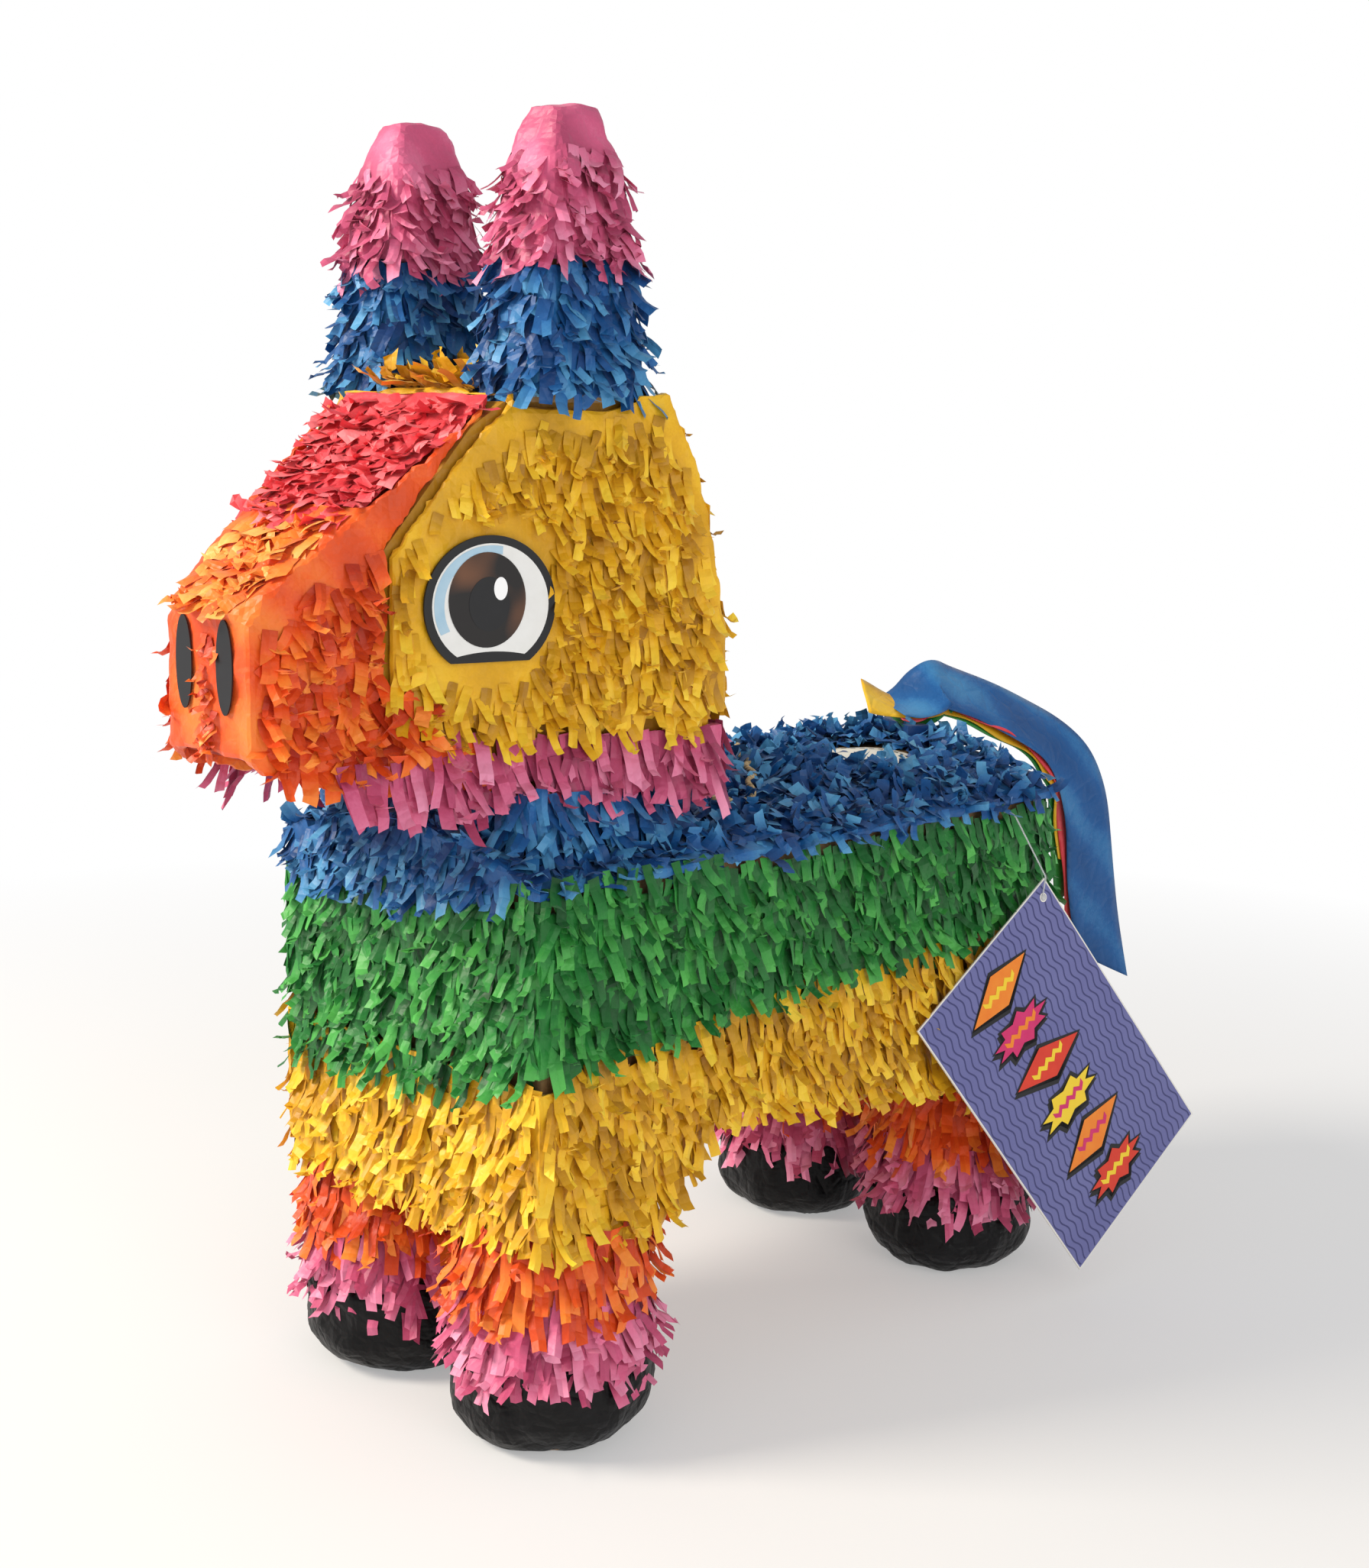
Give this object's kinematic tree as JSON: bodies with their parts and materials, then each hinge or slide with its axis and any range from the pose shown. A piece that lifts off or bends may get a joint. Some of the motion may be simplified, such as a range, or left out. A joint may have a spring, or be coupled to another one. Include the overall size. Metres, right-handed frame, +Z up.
{
  "type": "donkey pinata",
  "caption": "Free-standing cardboard donkey pinata in bands of coloured tissue fringe, with a push-in fill flap on its back, a twine loop, a streamer tail and a card tag.",
  "frame": {"origin": "on the floor, midway between the four hooves", "axes": "+Z up, the donkey looks along -Y, +X is its left side"},
  "size_m": [0.2386, 0.5423, 0.56],
  "materials": {
    "card": "matte",
    "black_paper": "matte",
    "pink_tissue": "matte",
    "orange_tissue": "matte",
    "blue_tissue": "matte",
    "green_tissue": "matte",
    "yellow_tissue": "matte",
    "red_tissue": "matte",
    "label_paper": "satin",
    "eye_sticker": "satin",
    "nostril_sticker": "satin",
    "jute": "matte",
    "dowel": "matte",
    "blue_crepe": "matte",
    "red_crepe": "matte",
    "yellow_crepe": "matte",
    "green_crepe": "matte",
    "tag_card": "satin",
    "clear_nylon": "gloss"
  },
  "bodies": {
    "carcass": {"side_left": "card", "side_right": "card", "chest_panel": "card", "rump_panel": "card", "belly_panel": "card", "back_panel": "card", "leg_front_left": "card", "leg_front_right": "card", "leg_rear_left": "card", "leg_rear_right": "card", "neck": "card", "muzzle_front": "card", "muzzle_top": "card", "jaw_panel": "card", "crown_strip": "card", "muzzle_side_left": "card", "muzzle_side_right": "card", "cheek_left": "card", "cheek_right": "card", "ear_left": "card", "ear_right": "card", "tail_tab": "card", "hoof_front_left": "black_paper", "fringe_pink_front_left": "pink_tissue", "fringe_orange_front_left": "orange_tissue", "hoof_front_right": "black_paper", "fringe_pink_front_right": "pink_tissue", "fringe_orange_front_right": "orange_tissue", "hoof_rear_left": "black_paper", "fringe_pink_rear_left": "pink_tissue", "fringe_orange_rear_left": "orange_tissue", "hoof_rear_right": "black_paper", "fringe_pink_rear_right": "pink_tissue", "fringe_orange_rear_right": "orange_tissue", "fringe_ear_blue_left": "blue_tissue", "fringe_ear_pink_left": "pink_tissue", "eye_left": "eye_sticker", "fringe_ear_blue_right": "blue_tissue", "fringe_ear_pink_right": "pink_tissue", "eye_right": "eye_sticker", "nostrils": "nostril_sticker", "hanging_loop": "jute", "toggle": "dowel", "fringe_neck": "blue_tissue", "fringe_body_blue": "blue_tissue", "fringe_body_green": "green_tissue", "fringe_body_yellow": "yellow_tissue", "fringe_head_yellow": "yellow_tissue", "fringe_jaw_pink": "pink_tissue", "fringe_forehead_red": "red_tissue", "fringe_muzzle_orange": "orange_tissue"},
    "flap": {"fill_flap": "card", "flap_label": "label_paper"},
    "tail": {"streamer_blue": "blue_crepe", "streamer_red": "red_crepe", "streamer_yellow": "yellow_crepe", "streamer_green": "green_crepe"},
    "tag": {"tag": "tag_card", "tag_fastener": "clear_nylon"}
  },
  "joints": [
    {"name": "flap_push", "type": "hinge", "parent": "carcass", "child": "flap", "pos_m": [0.008, 0.143, 0.26186], "axis": [1, 0, 0], "range_deg": [0, 100]},
    {"name": "tail_lift", "type": "hinge", "parent": "carcass", "child": "tail", "pos_m": [-0.005, 0.156, 0.2783], "axis": [0.891, -0.454, 0], "range_deg": [0, 45]},
    {"name": "tag_swing", "type": "hinge", "parent": "carcass", "child": "tag", "pos_m": [0.091, 0.128, 0.246], "axis": [1, 0, 0], "range_deg": [-30, 40]}
  ]
}
